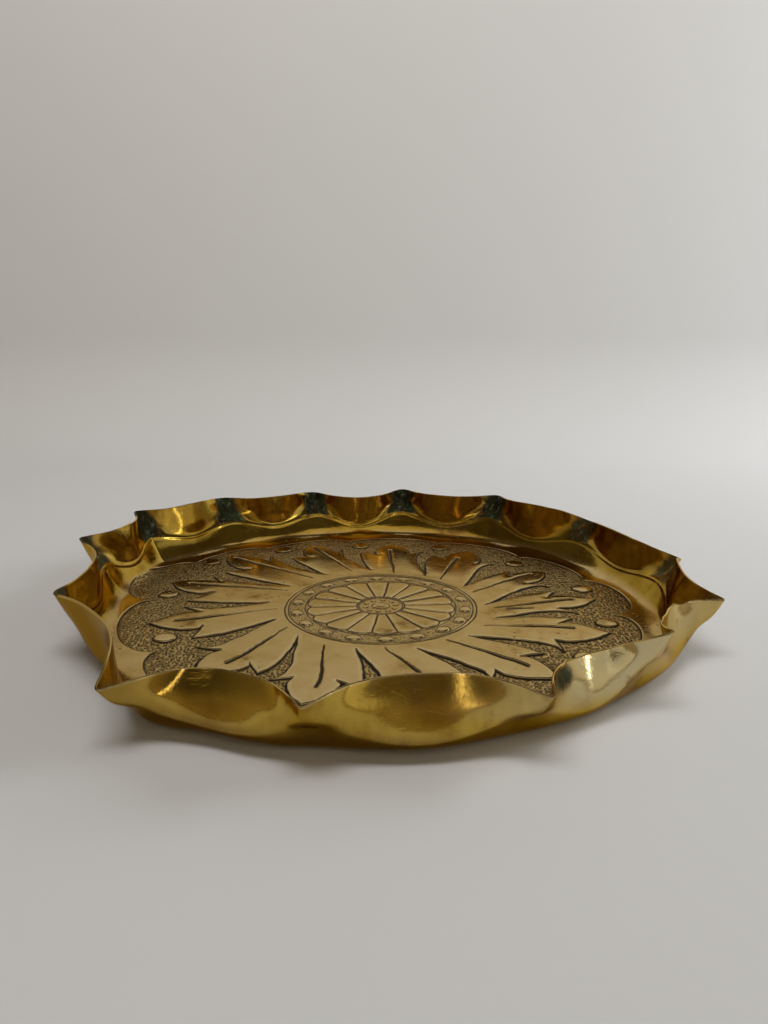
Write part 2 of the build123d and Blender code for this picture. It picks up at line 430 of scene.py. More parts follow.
def petal_relief(x, y):
    """The chased floor outside the medallion.

    Height above the floor, and how far each spot is groove, punched ground and worn edge.
    """
    radius = np.hypot(x, y)
    angle = np.degrees(np.arctan2(y, x)) % 360
    # The hand that drew the outlines wavered a little.
    x = x + 0.38 * noise(x, y, 9, 1) + 0.20 * noise(x, y, 3, 2)
    y = y + 0.38 * noise(x, y, 9, 3) + 0.20 * noise(x, y, 3, 4)
    nearest = np.full(x.shape, 99.0)
    petal = np.zeros(x.shape, bool)
    vein = np.zeros(x.shape)
    for index, (line, ring) in enumerate(zip(PETAL_LINES, PETAL_RINGS)):
        near = np.abs(turn_from(angle, PETALS[index][0] - 4)) < 34
        if not near.any():
            continue
        px, py = x[near], y[near]
        distance = distance_to(px, py, line)[0]
        nearest[near] = np.minimum(nearest[near], distance)
        petal[near] |= inside(px, py, ring)
        distance, place = distance_to(px, py, VEIN_LINES[index])
        width = blend(*VEIN_WIDTHS, ramp(place, 0, 0.8))
        vein[near] = np.maximum(vein[near], mound(distance, width))
    tear = mound(distance_to(x, y, TEAR_LINE)[0], 0.8)
    groove = np.maximum(vein, tear)

    gap = border_gap(radius, angle)
    into_ground = np.where(petal, -nearest, nearest)
    into_ground = np.minimum(into_ground, gap)
    into_ground = np.where(radius < BAND_RADIUS, -9, into_ground)
    fade = ramp(radius, BAND_RADIUS, BAND_RADIUS + 3)
    thickness = np.where(gap < np.abs(nearest), 0.42, 0.64) * (1 + 0.35 * noise(x, y, 7, 15))
    outline = mound(into_ground - 0.25, thickness) * fade
    ground = ramp(into_ground, -0.1, 0.5)

    boss = np.full(x.shape, 9.0)
    for direction, out in BOSSES:
        bx, by = polar(out, direction)
        boss = np.minimum(boss, np.hypot(x - bx, y - by) / BOSS_SIZE)
    on_boss = 1 - ramp(boss, 0.93, 1.03)
    boss_line = mound(boss - 1.0, 0.09)
    ground = ground * (1 - on_boss)
    outline = np.maximum(outline * (1 - on_boss), boss_line)

    marks = punch_marks(x, y) * ground * ramp(into_ground, 0.2, 1.0)
    pillow = (1 - mound(np.minimum(into_ground, 0), 2.4)) * ramp(radius, 50, 58) * petal
    dome = np.sqrt(np.clip(1 - boss**2, 0, 1)) * on_boss
    height = -GROUND_DEPTH * ground - OUTLINE_DEPTH * outline
    height = height - VEIN_DEPTH * groove - PUNCH_DEPTH * marks
    height = height + PETAL_SWELL * pillow + (BOSS_DOME * dome - BOSS_BASE) * on_boss
    height = height + 0.06 * noise(x, y, 14, 5) * (1 - ground)
    height = height + 0.05 * noise(x, y, 2.2, 6) * ground
    cavity = np.clip(np.maximum.reduce([0.95 * groove, 0.95 * outline, 0.85 * marks]), 0, 1)
    worn = mound(into_ground + 1.1, 0.7) * petal + 0.8 * on_boss * ramp(dome, 0.3, 0.9)
    return height, cavity, ground, worn


def medallion_relief(x, y):
    """The wheel of rounded panels in its ring of beads, inside the smooth band."""
    x = x + 0.18 * noise(x, y, 6, 7)
    y = y + 0.18 * noise(x, y, 6, 8)
    radius = np.hypot(x, y)
    angle = np.degrees(np.arctan2(y, x))
    sector = 360 / SPOKES
    off_middle = np.radians((angle - SPOKE_START) % sector - sector / 2)
    along = radius * np.cos(off_middle)
    across = np.abs(radius * np.sin(off_middle))
    half = np.radians(sector / 2)

    # A panel narrows to the hub and ends in a flat round at the ring.
    to_spoke = along * np.sin(half) - across * np.cos(half) - 0.10
    past_round = (along - WHEEL_ROUND_RADIUS) / WHEEL_ROUND_LENGTH
    to_round = WHEEL_ROUND_LENGTH * (1 - np.hypot(past_round, across / WHEEL_ROUND_WIDTH))
    inset = np.where(along < WHEEL_ROUND_RADIUS, to_spoke, np.minimum(to_round, to_spoke))
    inset = np.minimum(inset, radius - HUB_RADIUS - 0.6)
    in_wheel = (radius > HUB_RADIUS) & (radius < SPOKE_RING_RADIUS)
    panel_line = mound(inset, 0.38) * in_wheel
    corner_ground = ramp(-inset, 0.3, 0.9) * in_wheel

    to_bead = np.hypot(
        (along - BEAD_RING_RADIUS) / (BEAD_WIDTH / 2),
        radius * np.sin(off_middle) / (BEAD_LENGTH / 2),
    )
    on_bead = 1 - ramp(to_bead, 0.98, 1.10)
    ring_ground = ramp(radius, 36.8, 37.4) * (1 - ramp(radius, 44.2, 44.8)) * (1 - on_bead)

    hub_sector = 360 / HUB_BEADS
    off_hub = np.radians((angle - HUB_BEADS_START) % hub_sector - hub_sector / 2)
    past_hub_ring = radius * np.cos(off_hub) - HUB_BEAD_RING_RADIUS
    to_hub_bead = np.hypot(past_hub_ring, radius * np.sin(off_hub))
    on_hub_bead = 1 - ramp(to_hub_bead, HUB_BEAD_TOP, HUB_BEAD_SIZE)
    hub_ground = ramp(radius, 4.6, 5.0) * (1 - ramp(radius, 10.2, 10.7)) * (1 - on_hub_bead)

    lines = np.zeros(x.shape)
    for ring, width in WHEEL_RINGS:
        lines = np.maximum(lines, mound(radius - ring, width))
    lines = np.maximum(lines, 0.8 * mound((to_bead - 1.08) * 2.6, 0.30))
    lines = np.maximum(lines, mound(radius - 2.1, 0.3) * 0.7)

    ground = np.maximum.reduce([0.8 * corner_ground, 0.6 * ring_ground, 0.55 * hub_ground])
    marks = punch_marks(x * 1.35, y * 1.35) * ring_ground
    lines = np.maximum(lines, panel_line)
    bead_dome = np.sqrt(np.clip(1 - to_bead**2, 0, 1)) * on_bead
    hub_dome = np.sqrt(np.clip(1 - (to_hub_bead / HUB_BEAD_SIZE) ** 2, 0, 1)) * on_hub_bead
    boss_dome = np.sqrt(np.clip(1 - (radius / HUB_BOSS_SIZE) ** 2, 0, 1))
    pillow = (1 - mound(np.maximum(inset, 0), 1.7)) * in_wheel
    height = -WHEEL_GROUND_DEPTH * ground - WHEEL_LINE_DEPTH * lines - WHEEL_PUNCH_DEPTH * marks
    height = height + BEAD_DOME * bead_dome + HUB_DOME * hub_dome + HUB_DOME * boss_dome
    height = height + PETAL_SWELL * pillow
    height = height + 0.04 * noise(x, y, 9, 9)
    cavity = np.clip(np.maximum(0.78 * lines, 0.7 * marks), 0, 1)
    worn = 0.9 * bead_dome + 0.7 * boss_dome + mound(inset - 1.0, 0.6) * in_wheel
    return height, cavity, ground, np.clip(worn, 0, 1)


def floor_relief(x, y):
    radius = np.hypot(x, y)
    if radius.max() < MEDALLION_RADIUS + 1:
        return medallion_relief(x, y)
    share = ramp(radius, *WHEEL_JOIN)
    both = zip(medallion_relief(x, y), petal_relief(x, y))
    return tuple(blend(inner, outer, share) for inner, outer in both)


# ---- the rim ----


def hang(along, rounding):
    """1 at both crimps and 0 half way between them: a hanging chain with its ends rounded off."""
    from_crimp = 0.5 - abs(along - 0.5)
    rounded = math.hypot(from_crimp, rounding) - rounding
    rounded = rounded * 0.5 / (math.hypot(0.5, rounding) - rounding)
    return (math.cosh(RIM_SLACK * (1 - 2 * rounded)) - 1) / (math.cosh(RIM_SLACK) - 1)


def wave(along):
    """1 at both crimps and 0 half way between them, along a smooth wave."""
    return 0.5 + 0.5 * math.cos(2 * math.pi * along)


def unit(vectors):
    return vectors / np.maximum(np.linalg.norm(vectors, axis=-1, keepdims=True), 1e-9)


def crimp_after(index):
    return CRIMPS[(index + 1) % len(CRIMPS)]


def lobe_width(index):
    """How many degrees a lobe takes up."""
    return (crimp_after(index)[0] - CRIMPS[index][0]) % 360


def lobe_of(direction):
    """Which lobe a direction falls in, and how far along it."""
    for index, crimp in enumerate(CRIMPS):
        off = (direction - crimp[0]) % 360
        if off < lobe_width(index):
            return index, off / lobe_width(index)
    raise ValueError(direction)


def wall_points(directions):
    """The five points of the sheet's profile at each direction, as radius and height."""
    rows = []
    for direction in directions:
        index, along = lobe_of(direction)
        here = CRIMPS[index]
        after = crimp_after(index)
        foot, tip, top, rounding = (blend(a, b, along) for a, b in zip(here[1:], after[1:]))
        lobe_foot, crease, crease_height, rim, rim_height = LOBES[index]
        middle = [
            (lobe_foot - 2, 0),
            (blend(lobe_foot, crease, 0.55), 0.28 * crease_height),
            (crease, crease_height),
            (blend(crease, rim, 0.40), blend(crease_height, rim_height, 0.5)),
            (rim, rim_height),
        ]
        reach = tip - foot
        crimp = [
            (foot - 2, 0),
            (foot + 0.26 * reach, 0.08 * top),
            (foot + 0.56 * reach, 0.50 * top),
            (foot + 0.80 * reach, 0.70 * top),
            (tip, top),
        ]
        swing = wave(along)
        drop = hang(along, rounding)
        shares = np.array([blend(swing, drop, pinch) for pinch in PINCH])[:, None]
        rows.append(blend(np.array(middle), np.array(crimp), shares))
    return np.array(rows)


def profile_lines(points):
    """A dense smooth line through each profile, with a fold at its crease."""
    arrive = np.zeros(points.shape)
    leave = np.zeros(points.shape)
    arrive[:, 0] = leave[:, 0] = (1, 0)
    for level in (1, 2, 3):
        through = unit(points[:, level + 1] - points[:, level - 1])
        before = unit(points[:, level] - points[:, level - 1])
        after = unit(points[:, level + 1] - points[:, level])
        sharp = CREASE_FOLD if level == CREASE_LEVEL else 0
        arrive[:, level] = unit(blend(through, before, sharp))
        leave[:, level] = unit(blend(through, after, sharp))
    arrive[:, 4] = leave[:, 4] = unit(points[:, 4] - points[:, 3])
    s = np.linspace(0, 1, PROFILE_STEPS, endpoint=False)[None, :, None]
    spans = []
    for level in range(4):
        a = points[:, level][:, None]
        b = points[:, level + 1][:, None]
        chord = np.linalg.norm(b - a, axis=-1, keepdims=True)
        out = leave[:, level][:, None] * chord
        back = arrive[:, level + 1][:, None] * chord
        spans.append(
            (2 * s**3 - 3 * s**2 + 1) * a + (s**3 - 2 * s**2 + s) * out
            + (3 * s**2 - 2 * s**3) * b + (s**3 - s**2) * back
        )
    spans.append(points[:, 4][:, None])
    return np.concatenate(spans, axis=1)


def rim_cut(directions):
    """How far the rim's cut edge stays short of its full height at each direction."""
    x, y = polar(140.0, directions).T
    small = 0.30 * (1 + noise(x, y, 11, 21)) + 0.12 * (1 + noise(x, y, 3.5, 22))
    start, deep, shallow, end = BITTEN_RIM
    bitten = ramp(directions % 360, start, deep) * (1 - ramp(directions % 360, shallow, end))
    return 0.5 * small + bitten * 0.9 * (1 + noise(x, y, 4.2, 23))


def wall_grid(directions, rows):
    """Radius and height of the sheet's upper face on a grid from the floor's edge to the rim.

    It has one extra row at each end.  The last array is how far each spot lies past the crease.
    """
    lines = profile_lines(wall_points(directions))
    crease = 2 + CREASE_LEVEL * PROFILE_STEPS
    flat = np.zeros((len(directions), 2, 2))
    flat[:, 0, 0] = FLOOR_RADIUS - 2
    flat[:, 1, 0] = FLOOR_RADIUS
    beyond = lines[:, -1:] + 2 * unit(lines[:, -1:] - lines[:, -2:-1])
    lines = np.concatenate([flat, lines, beyond], axis=1)
    run = np.cumsum(np.linalg.norm(np.diff(lines, axis=1), axis=-1), axis=1)
    run = np.concatenate([np.zeros((len(directions), 1)), run], axis=1)
    steps = np.arange(-1, rows + 2) / rows
    radius = np.zeros((rows + 3, len(directions)))
    height = np.zeros(radius.shape)
    past_crease = np.zeros(radius.shape)
    cut = rim_cut(directions)
    for column in range(len(directions)):
        length = run[column, -2] - 2 - cut[column]
        places = 2 + steps * length
        radius[:, column] = np.interp(places, run[column], lines[column, :, 0])
        height[:, column] = np.interp(places, run[column], lines[column, :, 1])
        past_crease[:, column] = places - run[column, crease]
    for _ in range(3):
        middle = 0.25 * radius[:-2] + 0.5 * radius[1:-1] + 0.25 * radius[2:]
        radius[2:-2] = middle[1:-1]
        middle = 0.25 * height[:-2] + 0.5 * height[1:-1] + 0.25 * height[2:]
        height[2:-2] = middle[1:-1]
    return radius, height, past_crease


def grid_normals(points):
    """Upward or inward normals of a grid, one row and column smaller at each side."""
    outward = points[2:, 1:-1] - points[:-2, 1:-1]
    around = points[1:-1, 2:] - points[1:-1, :-2]
    return unit(np.cross(outward, around))


def crimp_distance(directions):
    """Distance along the rim to the nearest crimp in millimetres, and that crimp's verdigris,
    which also sets the painted shade of its pocket.
    """
    gap = np.full(directions.shape, 999.0)
    strength = np.zeros(directions.shape)
    for (direction, _, tip, _, _), verdigris_and_shade in zip(CRIMPS, VERDIGRIS_AND_POCKET_SHADE):
        away = np.abs(np.radians(turn_from(directions, direction))) * tip
        strength = np.where(away < gap, verdigris_and_shade, strength)
        gap = np.minimum(gap, away)
    return gap, strength


# ---- meshes ----

# What a mesh tells its material about each spot, from 0 to 1: how far it is cut in, how far it
# is punched ground, worn edge and wall, its tone (from -1, brown, to 1, pale; on the wall's
# outside this is a painted pale reflection, painted shade and a browner foot) and its verdigris,
# which also brings painted shade into the crimp pockets.
ATTRIBUTES = ("cavity", "ground", "worn", "wall", "painted_light_and_foot_tone", "verdigris_and_pocket_shade")


def make_mesh(name, vertices, normals, faces, values):
    """A mesh object from arrays.  Faces come as arrays of vertex numbers, one per corner count."""
    mesh = bpy.data.meshes.new(name)
    mesh.vertices.add(len(vertices))
    mesh.vertices.foreach_set("co", (vertices * MM).astype(np.float32).ravel())
    corners = np.concatenate([block.ravel() for block in faces])
    counts = np.concatenate([np.full(len(block), block.shape[1]) for block in faces])
    starts = np.concatenate([[0], np.cumsum(counts)[:-1]])
    mesh.loops.add(len(corners))
    mesh.loops.foreach_set("vertex_index", corners.astype(np.int32))
    mesh.polygons.add(len(counts))
    mesh.polygons.foreach_set("loop_start", starts.astype(np.int32))
    mesh.update(calc_edges=True)
    mesh.shade_smooth()
    mesh.normals_split_custom_set_from_vertices(unit(normals).tolist())
    for key, value in values.items():
        attribute = mesh.attributes.new(key, "FLOAT", "POINT")
        attribute.data.foreach_set("value", value.astype(np.float32))
    if mesh.validate(verbose=False):
        print(name, "had faces that needed repair")
    piece = bpy.data.objects.new(name, mesh)
    bpy.context.scene.collection.objects.link(piece)
    return piece


def quads(index, flip=False):
    """Faces of a grid of vertex numbers, turned over where flip is true."""
    corners = [index[:-1, :-1], index[1:, :-1], index[1:, 1:], index[:-1, 1:]]
    if flip:
        corners = corners[::-1]
    return np.stack(corners, axis=-1).reshape(-1, 4)


def stitch(fine, coarse):
    """Faces between an edge and one with half as many steps.

    The fine edge runs with the face on its left.
    """
    corners = [fine[:-2:2], fine[1:-1:2], fine[2::2], coarse[1:], coarse[:-1]]
    return np.stack(corners, axis=-1)


def sheet_piece(name, upper, under, edge=None):
    """A closed sheet from an upper grid, an under grid with half the steps, and a rim edge.

    Each is (points, normals, values), where values has one array for each named value.
    """
    blocks = [upper, under] + ([edge] if edge else [])
    numbers = []
    total = 0
    for points, _, _ in blocks:
        rows, columns = points.shape[:2]
        numbers.append(total + np.arange(rows * columns).reshape(rows, columns))
        total += rows * columns
    top, low = numbers[:2]
    faces = [quads(top), quads(low, flip=True)]
    sides = [stitch(top[0], low[0])]
    if edge:
        rim = numbers[2]
        faces.append(quads(np.vstack([top[-1:], rim])))
        sides.append(stitch(rim[-1][::-1], low[-1][::-1]))
        ends = []
        for column, order in ((0, -1), (-1, 1)):
            side = np.concatenate([top[-3:, column], rim[:, column], low[-1:, column]])
            ends.append(side[::order])
        faces.append(np.array(ends))
        rows = top[:-2]
    else:
        sides.append(stitch(top[-1][::-1], low[-1][::-1]))
        rows = top
    sides.append(stitch(rows[::-1, 0], low[::-1, 0]))
    sides.append(stitch(rows[:, -1], low[:, -1]))
    faces.extend(sides)
    points = np.concatenate([block[0].reshape(-1, 3) for block in blocks])
    normals = np.concatenate([block[1].reshape(-1, 3) for block in blocks])
    values = {}
    for key in upper[2]:
        values[key] = np.concatenate([block[2][key].ravel() for block in blocks])
    return make_mesh(name, points, normals, faces, values)


def named_values(*grids):
    """What the materials read at each spot, without the extra rows and columns."""
    return {key: grid[INNER] for key, grid in zip(ATTRIBUTES, grids)}


def floor_block(x, y):
    """Upper and under sides of a stretch of the floor, from a grid with an extra row all round."""
    height, cavity, ground, worn = floor_relief(x, y)
    top = np.stack([x, y, SHEET + height], axis=-1)
    none = np.zeros(x.shape)
    values = named_values(cavity, ground, worn, none, none, none)
    upper = (top[INNER], grid_normals(top), values)
    low_height = np.maximum(0, SHEET - METAL + UNDER_SHARE * height)
    low = np.stack([x, y, low_height], axis=-1)
    low_values = {key: value[HALF] * 0.3 for key, value in values.items()}
    under = (low[INNER][HALF], -grid_normals(low)[HALF], low_values)
    return upper, under


# How far the panels' seams turn on the way out, as in the CAD: radius and degrees.
SWIRL_POINTS = curve([(46, -11), (58, -6), (75, 0), (95, 1), (118, 1)], 16)
PANEL_SWIRL = [tuple(point) for point in SWIRL_POINTS] + [(200, 1)]
SEAM_LEAD = 1             # degrees by which a seam's outer end passes the middle of the ground


def panel_swirl(radius):
    """The angle by which the panels' seams lead or lag at a radius."""
    return np.interp(radius, *zip(*PANEL_SWIRL))


def seam_direction(index):
    """Direction, at the floor's edge, of the seam after a petal."""
    here = PETALS[index % len(PETALS)][0]
    after = PETALS[(index + 1) % len(PETALS)][0]
    return (here + 0.5 * ((after - here) % 360) + SEAM_LEAD) % 360


def column_directions(start, width):
    """The directions of a grid's columns, with one extra column at each end."""
    return start + COLUMN * np.arange(-1, int(round(width / COLUMN)) + 2)


def petal_panel(index):
    start = seam_direction(index - 1)
    directions = column_directions(start, (seam_direction(index) - start) % 360)
    step = (FLOOR_RADIUS - MEDALLION_RADIUS) / PANEL_ROWS
    radii = MEDALLION_RADIUS + step * np.arange(-1, PANEL_ROWS + 2)
    radius = np.repeat(radii[:, None], len(directions), axis=1)
    angle = directions[None, :] - SEAM_LEAD + panel_swirl(radius)
    x, y = np.moveaxis(polar(radius, angle), -1, 0)
    name = "petal_panel_%02d" % (index + 1)
    upper, under = floor_block(x, y)
    finish_piece(sheet_piece(name + "_brass", upper, under), name, "chased_brass")


def medallion():
    """The disc, as rings round a small hole at its centre that a last face closes."""
    step = MEDALLION_RADIUS / (DISC_ROWS + 1)
    radii = step * np.arange(0.5, DISC_ROWS + 3)
    radii = radii * MEDALLION_RADIUS / radii[DISC_ROWS + 1]
    directions = 360 / DISC_COLUMNS * np.arange(-1, DISC_COLUMNS + 2)
    radius, angle = np.meshgrid(radii, directions, indexing="ij")
    x, y = np.moveaxis(polar(radius, angle), -1, 0)
    upper, under = floor_block(x, y)
    name = "floor_medallion"
    piece = disc_piece(name + "_brass", upper, under)
    finish_piece(piece, name, "chased_brass")


def disc_piece(name, upper, under):
    """A closed disc from polar grids whose last column repeats the first."""
    def flatten(block):
        points, normals, values = block
        return (
            points[:, :-1].reshape(-1, 3),
            normals[:, :-1].reshape(-1, 3),
            {key: value[:, :-1].ravel() for key, value in values.items()},
        )

    rows, columns = upper[0].shape[0], upper[0].shape[1] - 1
    low_rows, low_columns = under[0].shape[0], under[0].shape[1] - 1
    top = np.arange(rows * columns).reshape(rows, columns)
    top = np.hstack([top, top[:, :1]])
    low = rows * columns + np.arange(low_rows * low_columns).reshape(low_rows, low_columns)
    low = np.hstack([low, low[:, :1]])
    faces = [quads(top), quads(low, flip=True), stitch(top[-1][::-1], low[-1][::-1])]
    top_points, top_normals, top_values = flatten(upper)
    low_points, low_normals, low_values = flatten(under)
    centres = []
    for ring, points, direction in ((top, top_points, 1), (low, low_points, -1)):
        centres.append(points[ring[0, :-1] - ring[0, 0]].mean(axis=0))
    middle = len(top_points) + len(low_points)
    faces.append(np.stack([np.full(columns, middle), top[0, :-1], top[0, 1:]], axis=-1))
    last = np.full(low_columns, middle + 1)
    faces.append(np.stack([last, low[0, 1:], low[0, :-1]], axis=-1))
    points = np.vstack([top_points, low_points, centres])
    normals = np.vstack([top_normals, low_normals, [(0, 0, 1), (0, 0, -1)]])
    values = {}
    for key in top_values:
        values[key] = np.concatenate([top_values[key], low_values[key], [0, 0]])
    return make_mesh(name, points, normals, faces, values)


def rim_lobe(index):
    directions = column_directions(CRIMPS[index][0], lobe_width(index))
    radius, height, past_crease = wall_grid(directions, LOBE_ROWS)
    angle = np.repeat(directions[None, :], len(radius), axis=0)
    x, y = np.moveaxis(polar(radius, angle), -1, 0)
    plain = np.stack([x, y, SHEET + height], axis=-1)

    # The chased floor runs on into the lobe and fades where the wall begins.
    chased = 1 - ramp(height, 1.5, 3.0)
    relief, cavity, ground, worn = (value * chased for value in petal_relief(x, y))
    wall = ramp(height, 0.3, 4.0)
    beaten = BEATEN * noise(x + 0.7 * height, y + 1.3 * height, 24, 11)
    beaten = beaten + BEATEN_FINE * noise(x + 0.7 * height, y - 1.1 * height, 7, 12)
    lip = CREASE_LIP * mound(past_crease, 1.1)
    lift = relief + (beaten + lip) * wall
    normals = np.pad(grid_normals(plain), ((1, 1), (1, 1), (0, 0)), mode="edge")
    top = plain + normals * lift[..., None]

    # The verdigris in each crimp pocket; the material also darkens the pocket with painted shade.
    away, verdigris_and_shade = crimp_distance(angle)
    blotch = noise(x + height, y - height, 5, 13) + 0.6 * noise(x + height, y, 2, 14)
    level = height / np.maximum(height[-2], 1)
    pocket = 1 - ramp(away + 1.4 * blotch + 5 * level, 8.0, 14.0)
    pocket = pocket * ramp(past_crease + 0.4 * blotch, -0.2, 1.4) * verdigris_and_shade
    values = named_values(cavity, ground, worn, wall, np.zeros(x.shape), pocket)
    top_normals = grid_normals(top)
    upper = (top[INNER], top_normals, values)

    # The under side keeps the sheet's thickness, and never goes below the table.
    low = plain + normals * (UNDER_SHARE * relief + beaten * wall - METAL)[..., None]
    low[..., 2] = np.maximum(low[..., 2], 0)
    low_values = {key: value[HALF] * 0.3 for key, value in values.items()}
    low_values["wall"] = values["wall"][HALF]
    # Painted light on the outside of the wall: a painted pale reflection of a bright window round
    # one stretch, painted shade (the shadowed floor it faces) round another, and browner towards
    # the foot.
    pale = mound(turn_from(angle, PAINTED_REFLECTION_DIRECTION), PAINTED_REFLECTION_SPREAD)
    dark = mound(turn_from(angle, PAINTED_SHADE_DIRECTION), PAINTED_SHADE_SPREAD)
    painted_light_and_foot_tone = pale - dark - FOOT_DARKNESS * (1 - ramp(level, 0.10, 0.62))
    low_values["painted_light_and_foot_tone"] = painted_light_and_foot_tone[INNER][HALF]
    low_values["verdigris_and_pocket_shade"] = outside_verdigris(angle, level)[INNER][HALF]
    low_points = low[INNER][HALF][:-1]
    low_normals = -grid_normals(low)[HALF][:-1]
    under = (low_points, low_normals, {key: value[:-1] for key, value in low_values.items()})

    # The cut edge of the rim is rounded over by half a turn.
    rim_point = top[INNER][-1]
    rim_normal = top_normals[-1]
    out = unit(top[INNER][-1] - top[INNER][-2])
    edge_points = []
    edge_normals = []
    for turn in np.radians([45, 90, 135, 180]):
        away_from_middle = np.cos(turn) * rim_normal + np.sin(turn) * out
        middle = rim_point - 0.5 * METAL * rim_normal
        edge_points.append(middle + 0.5 * METAL * away_from_middle)
        edge_normals.append(away_from_middle)
    edge_values = {}
    for key, value in values.items():
        edge_values[key] = np.repeat(value[-1:], len(edge_points), axis=0)
    edge_values["worn"] = np.ones(edge_values["worn"].shape)
    edge = (np.array(edge_points), np.array(edge_normals), edge_values)
    name = "rim_lobe_%02d" % (index + 1)
    finish_piece(sheet_piece(name + "_brass", upper, under, edge), name, "polished_brass")


def outside_verdigris(angle, level):
    """A few green stains on the outside of the wall, the largest by the crimp at 290 degrees."""
    spot = mound(turn_from(angle, 296), 2.2) * mound(level - 0.86, 0.13)
    return np.clip(1.2 * spot, 0, 1)


def finish_piece(piece, node, material):
    piece.data.materials.append(MATERIALS[material])
    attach(piece, "root")
    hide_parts(node)


# ---- brass ----


class Tree:
    """Short calls that add and join the shader nodes of a material or world."""

    def __init__(self, owner):
        owner.use_nodes = True
        self.nodes = owner.node_tree.nodes
        self.links = owner.node_tree.links
        self.nodes.clear()

    def add(self, kind, inputs=None, **settings):
        node = self.nodes.new(kind)
        for key, value in settings.items():
            setattr(node, key, value)
        for key, value in (inputs or {}).items():
            self.plug(node.inputs[key], value)
        return node

    def plug(self, socket, value):
        if isinstance(value, bpy.types.NodeSocket):
            self.links.new(value, socket)
        else:
            socket.default_value = value

    def math(self, operation, a, b=0.0, c=0.0):
        node = self.add("ShaderNodeMath", operation=operation)
        for socket, value in zip(node.inputs, (a, b, c)):
            self.plug(socket, value)
        return node.outputs[0]

    def ramp(self, value, start, end, low=0.0, high=1.0):
        limits = {"From Min": start, "From Max": end, "To Min": low, "To Max": high}
        inputs = {"Value": value, **limits}
        node = self.add("ShaderNodeMapRange", inputs, interpolation_type="SMOOTHSTEP")
        return node.outputs["Result"]

    def noise(self, vector, scale, detail=4.0, roughness=0.55, distortion=0.0):
        inputs = {"Vector": vector, "Scale": scale, "Detail": detail}
        inputs.update({"Roughness": roughness, "Distortion": distortion})
        return self.add("ShaderNodeTexNoise", inputs).outputs["Fac"]

    def attribute(self, name):
        return self.add("ShaderNodeAttribute", attribute_name=name).outputs["Fac"]

    def mix(self, share, a, b, data="RGBA", sockets=(6, 7, 2)):
        """Two colours mixed.  The sockets are the numbers of a, of b and of the result."""
        node = self.add("ShaderNodeMix", data_type=data)
        self.plug(node.inputs[0], share)
        self.plug(node.inputs[sockets[0]], a)
        self.plug(node.inputs[sockets[1]], b)
        return node.outputs[sockets[2]]

    def mix_value(self, share, a, b):
        return self.mix(share, a, b, "FLOAT", (2, 3, 0))

    def stretched(self, vector, turn, stretch):
        inputs = {"Vector": vector, "Rotation": turn, "Scale": stretch}
        return self.add("ShaderNodeMapping", inputs).outputs["Vector"]


FLOOR_BRASS = (0.68, 0.515, 0.255, 1)
FLOOR_TARNISH = (0.58, 0.41, 0.17, 1)
EDGE_TINT = (0.80, 0.63, 0.38, 1)    # what the brass keeps of its colour at a glancing angle
WALL_BRASS = (0.56, 0.38, 0.070, 1)
# The painted pale reflection on the wall's outside, then the brown of its painted shade and of its
# foot.
PAINTED_REFLECTION_BRASS = (0.62, 0.53, 0.31, 1)
PAINTED_SHADE_AND_FOOT_BRASS = (0.27, 0.155, 0.055, 1)
WALL_TARNISH = (0.38, 0.225, 0.028, 1)
GROUND_BRASS = (0.55, 0.40, 0.18, 1)
GROOVE_DIRT = (0.022, 0.015, 0.008, 1)
# Real stains, and the painted shade in the crimp pockets.
STAIN_AND_POCKET_SHADE = (0.20, 0.11, 0.05, 1)
WORN_BRASS = (0.84, 0.70, 0.42, 1)
VERDIGRIS_DARK = (0.018, 0.016, 0.007, 1)
VERDIGRIS_GREEN = (0.034, 0.046, 0.022, 1)
VERDIGRIS_PALE = (0.16, 0.20, 0.12, 1)


